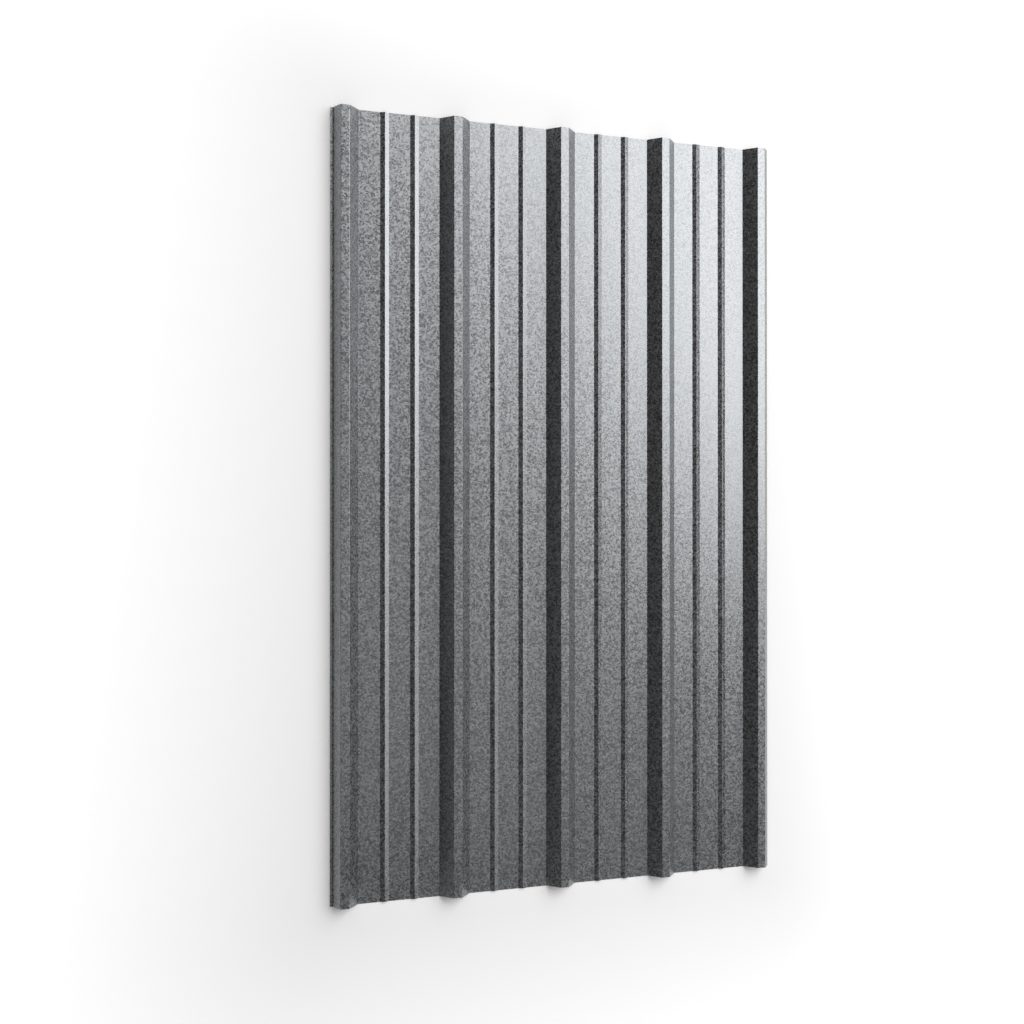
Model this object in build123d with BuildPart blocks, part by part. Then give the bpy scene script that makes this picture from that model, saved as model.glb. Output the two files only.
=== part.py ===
from build123d import *
import os
from math import hypot

# Ribbed steel sheet: one roll-formed strip, lying flat with its ribs up.
# Millimetres. X runs across the ribs, Y along them and Z up from the floor.
# The origin is the middle of the sheet's underside.

# The strip of steel
sheet_length = 1565
sheet_thickness = 0.5
inside_bend_radius = 0.8

# The tall ribs, trapezoids seen from the end
rib_count = 5
rib_pitch = 228.6
rib_height = 25.4
rib_base_width = 63.4
rib_top_width = 17.1

# The small stiffening ribs, a pair of shallow ridges in the pan between two tall ribs
stiffener_height = 3.8
stiffener_base_width = 17.5
stiffener_spacing = 61

# The underlap edge: a steep leg under the first rib, with a foot that bears on the support
underlap_leg_run = 11.4
underlap_foot_width = 4.9

# The overlap edge: the last rib's outer flank, cut short to lap over a neighbour's first rib
overlap_leg_drop = 14.5

# The strip is drawn along the middle of its thickness
middle_bend_radius = inside_bend_radius + sheet_thickness / 2
pan_level = sheet_thickness / 2
rib_level = pan_level + rib_height
stiffener_level = pan_level + stiffener_height
overlap_level = rib_level - overlap_leg_drop

# Half widths and runs of the section
rib_half_base = rib_base_width / 2
rib_half_top = rib_top_width / 2
rib_flank_run = rib_half_base - rib_half_top
rib_flank_length = hypot(rib_flank_run, rib_height)
stiffener_half_base = stiffener_base_width / 2
overlap_leg_run = rib_flank_run * overlap_leg_drop / rib_height

# The outermost corners of the two edges lie equally far from the origin
underlap_reach = rib_half_top + underlap_leg_run + underlap_foot_width
overlap_reach = rib_half_top + overlap_leg_run
overlap_edge_overhang = sheet_thickness / 2 * rib_height / rib_flank_length
rib_span = (rib_count - 1) * rib_pitch
first_rib_x = (underlap_reach - overlap_reach - overlap_edge_overhang - rib_span) / 2
rib_centres = [first_rib_x + rib_pitch * index for index in range(rib_count)]


def rib_start(centre):
    """The left flank of a tall rib, from the pan up to its flat top."""
    return [(centre - rib_half_base, pan_level), (centre - rib_half_top, rib_level)]


def rib_end(centre):
    """The right flank of a tall rib, from its flat top down to the pan."""
    return [(centre + rib_half_top, rib_level), (centre + rib_half_base, pan_level)]


def stiffener(centre):
    """A small ridge: up from the pan to one rounded crest and down again."""
    return [
        (centre - stiffener_half_base, pan_level),
        (centre, stiffener_level),
        (centre + stiffener_half_base, pan_level),
    ]


def pan(left_rib):
    """The pair of stiffeners in the pan to the right of a tall rib."""
    middle = left_rib + rib_pitch / 2
    return stiffener(middle - stiffener_spacing / 2) + stiffener(middle + stiffener_spacing / 2)


# The corners of the section from the underlap foot to the overlap edge
leg_foot_x = rib_centres[0] - rib_half_top - underlap_leg_run
corners = [
    (leg_foot_x - underlap_foot_width, pan_level),
    (leg_foot_x, pan_level),
    (rib_centres[0] - rib_half_top, rib_level),
]
for left_rib, right_rib in zip(rib_centres, rib_centres[1:]):
    corners += rib_end(left_rib) + pan(left_rib) + rib_start(right_rib)
corners += [
    (rib_centres[-1] + rib_half_top, rib_level),
    (rib_centres[-1] + overlap_reach, overlap_level),
]

# The section is bent from one strip of even thickness and runs the whole length
with BuildPart() as ribbed_sheet:
    with BuildSketch(Plane.XZ) as section:
        with BuildLine() as strip:
            FilletPolyline(*corners, radius=middle_bend_radius)
        trace(line_width=sheet_thickness)
    extrude(amount=sheet_length / 2, both=True)

ribbed_sheet.part.label = "ribbed_sheet"

os.makedirs("parts", exist_ok=True)
export_step(ribbed_sheet.part, "parts/ribbed_sheet.step")
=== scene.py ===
from math import cos, pi, radians, sin

import bpy
from mathutils import Matrix, Vector


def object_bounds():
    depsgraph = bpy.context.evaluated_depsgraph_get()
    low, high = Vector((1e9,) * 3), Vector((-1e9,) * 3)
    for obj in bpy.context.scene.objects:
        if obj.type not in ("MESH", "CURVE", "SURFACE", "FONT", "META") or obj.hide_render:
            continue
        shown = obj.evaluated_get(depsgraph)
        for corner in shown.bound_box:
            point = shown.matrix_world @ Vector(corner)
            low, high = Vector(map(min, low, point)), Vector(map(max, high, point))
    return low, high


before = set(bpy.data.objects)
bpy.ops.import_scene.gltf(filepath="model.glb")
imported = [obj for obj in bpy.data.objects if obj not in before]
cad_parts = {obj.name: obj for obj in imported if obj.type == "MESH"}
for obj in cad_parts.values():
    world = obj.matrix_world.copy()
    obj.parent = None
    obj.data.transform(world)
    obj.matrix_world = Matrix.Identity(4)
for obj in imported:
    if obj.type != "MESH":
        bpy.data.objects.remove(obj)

# Metres, in the solid's own frame: X runs across the ribs, Y along them and Z up from the floor
CAD_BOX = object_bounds()

# The camera at the photograph's viewing angle, swung from straight down towards +X and tipped towards +Y
IMAGE_SIZE = 1024
FOCAL_PIXELS = 1270.3
SENSOR_MILLIMETRES = 36.0
CAMERA_PLACE = (-0.93689, -0.0209, 2.46914)
CAMERA_SWING = radians(18.621)
CAMERA_PITCH = radians(0.2255)

# The white floor, with a glow that grows over this reach from the sheet's outline; the weak glow near the
# sheet is painted shade, a darker halo around it
FLOOR_SIZE = 400.0
FLOOR_DROP = 0.0002
FLOOR_COLOUR = (0.95, 0.95, 0.95, 1.0)
FLOOR_ROUGHNESS = 0.9
FLOOR_SPECULAR = 0.1
FLOOR_GLOW = (0.05, 0.6)
FLOOR_GLOW_PAINTED_SHADE_REACH = (0.05, 1.0)

# The softboxes, with their elevation and azimuth in degrees, their width and height, and their radiance
SOFTBOX_DISTANCE = 7.0
SOFTBOXES = {
    "key_softbox": {"elevation": 43.4, "azimuth": 38.0, "size": (6.95, 5.8), "radiance": 4.07},
    "side_softbox": {"elevation": 34.7, "azimuth": -7.8, "size": (3.7, 2.55), "radiance": 1.64},
    "top_softbox": {"elevation": 74.2, "azimuth": -12.8, "size": (4.7, 4.7), "radiance": 0.458},
}

# The dim room, with tall pale walls past the sheet's ends and low ones along its sides
ROOM_COLOUR = (0.110, 0.106, 0.107, 1.0)
WALL_COLOUR = (0.95, 0.95, 0.95, 1.0)
END_WALL_TOP_SINE = 0.75
END_WALL_FADE_SHARE = 0.4
SIDE_WALL_TOP_SINE = 0.15
SIDE_WALL_FADE_SHARE = 0.0
WALL_TURN_ANGLES = (radians(48.0), radians(28.0))

# A darker flag towards -X, whose soft edge lies between these X parts of a direction
FLAG_COLOUR = (0.078, 0.075, 0.076, 1.0)
FLAG_EDGE = (-0.7, -0.95)

# The steel's spangle of fine crystals, in grains of lamellae that are turned alike within a grain
CRYSTAL_SIZE = 0.0030
GRAIN_SIZE = 0.014
LAMELLA_WIDTH = 0.0020
LAMELLA_LENGTH = 0.006
LAMELLA_TURN = (radians(-40.0), radians(80.0))
LAMELLA_DETAIL = 1.0
LAMELLA_NOISE = (0.3, 0.7)
LAMELLA_SHARE = 0.3

# The finish of the steel, from its smoothest to its dullest crystals, and how far a crystal's face leans
CRYSTAL_ROUGHNESS = (0.221, 0.376)
CRYSTAL_METAL = (1.0, 0.75)
CRYSTAL_GREY = (0.165, 0.315)
STEEL_TINT = (0.97, 1.0, 1.03)
CRYSTAL_LEAN = 0.01


def feed(tree, socket, operand):
    """Link a node's input to another node's output, or set it to a written value."""
    if isinstance(operand, bpy.types.NodeSocket):
        tree.links.new(operand, socket)
    else:
        socket.default_value = operand


def new_node(tree, kind, **inputs):
    """Add a shader node and feed its inputs by name."""
    node = tree.nodes.new(kind)
    for name, operand in inputs.items():
        feed(tree, node.inputs[name.replace("_", " ")], operand)
    return node


def map_range(tree, value, low, high, to_low, to_high):
    """A clamped linear remap of a value."""
    ends = {"From_Min": low, "From_Max": high, "To_Min": to_low, "To_Max": to_high}
    return new_node(tree, "ShaderNodeMapRange", Value=value, **ends).outputs["Result"]


def between(tree, share, low, high):
    """A value that goes from low to high as a share goes from 0 to 1."""
    return map_range(tree, share, 0.0, 1.0, low, high)


def maths(tree, operation, *operands):
    """A maths node whose operands are sockets or numbers."""
    node = tree.nodes.new("ShaderNodeMath")
    node.operation = operation
    for socket, operand in zip(node.inputs, operands):
        feed(tree, socket, operand)
    return node.outputs["Value"]


def vector_maths(tree, operation, *operands):
    """A vector maths node whose operands are sockets or triples."""
    node = tree.nodes.new("ShaderNodeVectorMath")
    node.operation = operation
    for socket, operand in zip(node.inputs, operands):
        feed(tree, socket, operand)
    return node.outputs["Value" if operation == "LENGTH" else "Vector"]


def separate(tree, vector):
    """The X, Y and Z outputs of a vector."""
    return new_node(tree, "ShaderNodeSeparateXYZ", Vector=vector).outputs


def mixed_colour(tree, factor, a, b):
    """A mix of two colours, each a socket or a written colour."""
    node = tree.nodes.new("ShaderNodeMix")
    node.data_type = "RGBA"
    feed(tree, node.inputs["Factor"], factor)
    for name, colour in (("A", a), ("B", b)):
        feed(tree, next(s for s in node.inputs if s.name == name and s.type == "RGBA"), colour)
    return next(s for s in node.outputs if s.type == "RGBA")


def cell_colour(tree, place, size):
    """A random colour for each cell of a pattern whose cells are about this wide."""
    return new_node(tree, "ShaderNodeTexVoronoi", Vector=place, Scale=1.0 / size).outputs["Color"]


def red(tree, colour):
    """The red part of a colour."""
    return new_node(tree, "ShaderNodeSeparateColor", Color=colour).outputs["Red"]


def add_object(name, data):
    """Put a mesh, lamp or camera into the scene."""
    added = bpy.data.objects.new(name, data)
    bpy.context.scene.collection.objects.link(added)
    return added


def look_rotation(forward, up):
    """The rotation of a camera or lamp that looks along forward with the given up direction."""
    back = -forward.normalized()
    right = up.cross(back).normalized()
    true_up = back.cross(right)
    return Matrix((right, true_up, back)).transposed().to_euler()


def direction(elevation, azimuth):
    """A unit vector at an elevation above the floor and an azimuth from +X towards +Y."""
    return Vector((cos(elevation) * cos(azimuth), cos(elevation) * sin(azimuth), sin(elevation)))


def add_camera():
    """The camera, looking down on the sheet from its -X side."""
    camera = add_object("camera", bpy.data.cameras.new("camera"))
    camera.data.sensor_width = SENSOR_MILLIMETRES
    camera.data.sensor_height = SENSOR_MILLIMETRES
    camera.data.lens = FOCAL_PIXELS * SENSOR_MILLIMETRES / IMAGE_SIZE
    camera.location = CAMERA_PLACE
    along = Vector((0.0, 1.0, 0.0))
    untipped = Vector((sin(CAMERA_SWING), 0.0, -cos(CAMERA_SWING)))
    forward = untipped * cos(CAMERA_PITCH) + along * sin(CAMERA_PITCH)
    camera.rotation_euler = look_rotation(forward, along)
    bpy.context.scene.camera = camera


def add_softbox(name, elevation, azimuth, size, radiance):
    """A softbox that faces the sheet and that the camera doesn't see."""
    width, height = size
    lamp = bpy.data.lights.new(name, "AREA")
    lamp.shape = "RECTANGLE"
    lamp.size, lamp.size_y = width, height
    lamp.energy = radiance * pi * width * height
    softbox = add_object(name, lamp)
    aim = direction(radians(elevation), radians(azimuth))
    softbox.location = aim * SOFTBOX_DISTANCE
    softbox.rotation_euler = look_rotation(-aim, Vector((0.0, 0.0, 1.0)))
    softbox.visible_camera = False


def distance_from_sheet(tree):
    """How far a point of the floor lies outside the sheet's outline."""
    place = new_node(tree, "ShaderNodeTexCoord").outputs["Object"]
    outside = vector_maths(tree, "SUBTRACT", vector_maths(tree, "ABSOLUTE", place), CAD_BOX[1])
    return vector_maths(tree, "LENGTH", vector_maths(tree, "MAXIMUM", outside, (0.0, 0.0, 0.0)))


def white_floor():
    """A matt white whose glow only the camera, reflections and clear materials see, kept weak near the
    sheet as painted shade around it.
    """
    material = bpy.data.materials.new("floor")
    material.use_nodes = True
    tree = material.node_tree
    shader = tree.nodes["Principled BSDF"]
    shader.inputs["Base Color"].default_value = FLOOR_COLOUR
    shader.inputs["Roughness"].default_value = FLOOR_ROUGHNESS
    shader.inputs["Specular IOR Level"].default_value = FLOOR_SPECULAR
    shader.inputs["Emission Color"].default_value = FLOOR_COLOUR
    rays = new_node(tree, "ShaderNodeLightPath").outputs
    seen = maths(tree, "MAXIMUM", rays["Is Camera Ray"], rays["Is Glossy Ray"])
    seen = maths(tree, "MAXIMUM", seen, rays["Is Transmission Ray"])
    # Painted shade: the glow is weakest next to the sheet, so the floor around it, and its reflection in
    # the steel, is darker there
    glow = map_range(tree, distance_from_sheet(tree), *FLOOR_GLOW_PAINTED_SHADE_REACH, *FLOOR_GLOW)
    feed(tree, shader.inputs["Emission Strength"], maths(tree, "MULTIPLY", seen, glow))
    return material


def add_floor():
    """One large square, just under the sheet."""
    half = FLOOR_SIZE / 2
    level = CAD_BOX[0].z - FLOOR_DROP
    corners = [(-half, -half, level), (half, -half, level), (half, half, level), (-half, half, level)]
    mesh = bpy.data.meshes.new("floor")
    mesh.from_pydata(corners, [], [(0, 1, 2, 3)])
    mesh.materials.append(white_floor())
    add_object("floor", mesh)


def add_world():
    """The dim room with its pale walls and its darker flag.

    A wall fades into the room from a share of its height up to its top, the sine of an elevation.
    The end walls turn into the side walls between two angles from the X axis.
    """
    world = bpy.data.worlds.new("studio")
    bpy.context.scene.world = world
    world.use_nodes = True
    tree = world.node_tree
    view = new_node(tree, "ShaderNodeTexCoord").outputs["Generated"]

    level = vector_maths(tree, "NORMALIZE", vector_maths(tree, "MULTIPLY", view, (1.0, 1.0, 0.0)))
    across = maths(tree, "ABSOLUTE", separate(tree, level)["X"])
    side = map_range(tree, across, *(cos(angle) for angle in WALL_TURN_ANGLES), 0.0, 1.0)
    wall_top = between(tree, side, END_WALL_TOP_SINE, SIDE_WALL_TOP_SINE)
    fade_share = between(tree, side, END_WALL_FADE_SHARE, SIDE_WALL_FADE_SHARE)
    fade_start = maths(tree, "MULTIPLY", wall_top, fade_share)
    above_wall = map_range(tree, separate(tree, view)["Z"], fade_start, wall_top, 0.0, 1.0)

    flagged = map_range(tree, separate(tree, view)["X"], *FLAG_EDGE, 0.0, 1.0)
    room = mixed_colour(tree, flagged, ROOM_COLOUR, FLAG_COLOUR)
    surroundings = mixed_colour(tree, above_wall, WALL_COLOUR, room)
    feed(tree, tree.nodes["Background"].inputs["Color"], surroundings)


def coated_steel():
    """Bare coated steel: crystals from smooth and dark to dull and pale, in grains of leaning lamellae."""
    material = bpy.data.materials.new("coated_steel")
    material.use_nodes = True
    tree = material.node_tree
    shader = tree.nodes["Principled BSDF"]
    place = new_node(tree, "ShaderNodeTexCoord").outputs["Object"]

    grain_turn = between(tree, red(tree, cell_colour(tree, place, GRAIN_SIZE)), *LAMELLA_TURN)
    turned = new_node(tree, "ShaderNodeVectorRotate", Vector=place, Angle=grain_turn)
    turned.rotation_type = "Z_AXIS"
    lamella_size = (LAMELLA_LENGTH, LAMELLA_WIDTH, LAMELLA_WIDTH)
    in_lamellae = vector_maths(tree, "DIVIDE", turned.outputs["Vector"], lamella_size)
    lamellae = new_node(tree, "ShaderNodeTexNoise", Vector=in_lamellae, Scale=1.0, Detail=LAMELLA_DETAIL)
    streak = map_range(tree, lamellae.outputs["Fac"], *LAMELLA_NOISE, -LAMELLA_SHARE, LAMELLA_SHARE)

    crystal = cell_colour(tree, place, CRYSTAL_SIZE)
    dullness = maths(tree, "ADD", red(tree, crystal), streak)
    grey = between(tree, dullness, *CRYSTAL_GREY)
    feed(tree, shader.inputs["Base Color"], vector_maths(tree, "MULTIPLY", STEEL_TINT, grey))
    feed(tree, shader.inputs["Roughness"], between(tree, dullness, *CRYSTAL_ROUGHNESS))
    feed(tree, shader.inputs["Metallic"], between(tree, dullness, *CRYSTAL_METAL))

    lean = vector_maths(tree, "MULTIPLY_ADD", crystal, (2.0 * CRYSTAL_LEAN,) * 3, (-CRYSTAL_LEAN,) * 3)
    face = new_node(tree, "ShaderNodeNewGeometry").outputs["Normal"]
    leaning_face = vector_maths(tree, "NORMALIZE", vector_maths(tree, "ADD", face, lean))
    feed(tree, shader.inputs["Normal"], leaning_face)
    return material


bpy.context.scene.view_settings.view_transform = "Standard"
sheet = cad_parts["ribbed_sheet"]
sheet.data.materials.clear()
sheet.data.materials.append(coated_steel())
add_floor()
for name, softbox in SOFTBOXES.items():
    add_softbox(name, **softbox)
add_world()
add_camera()
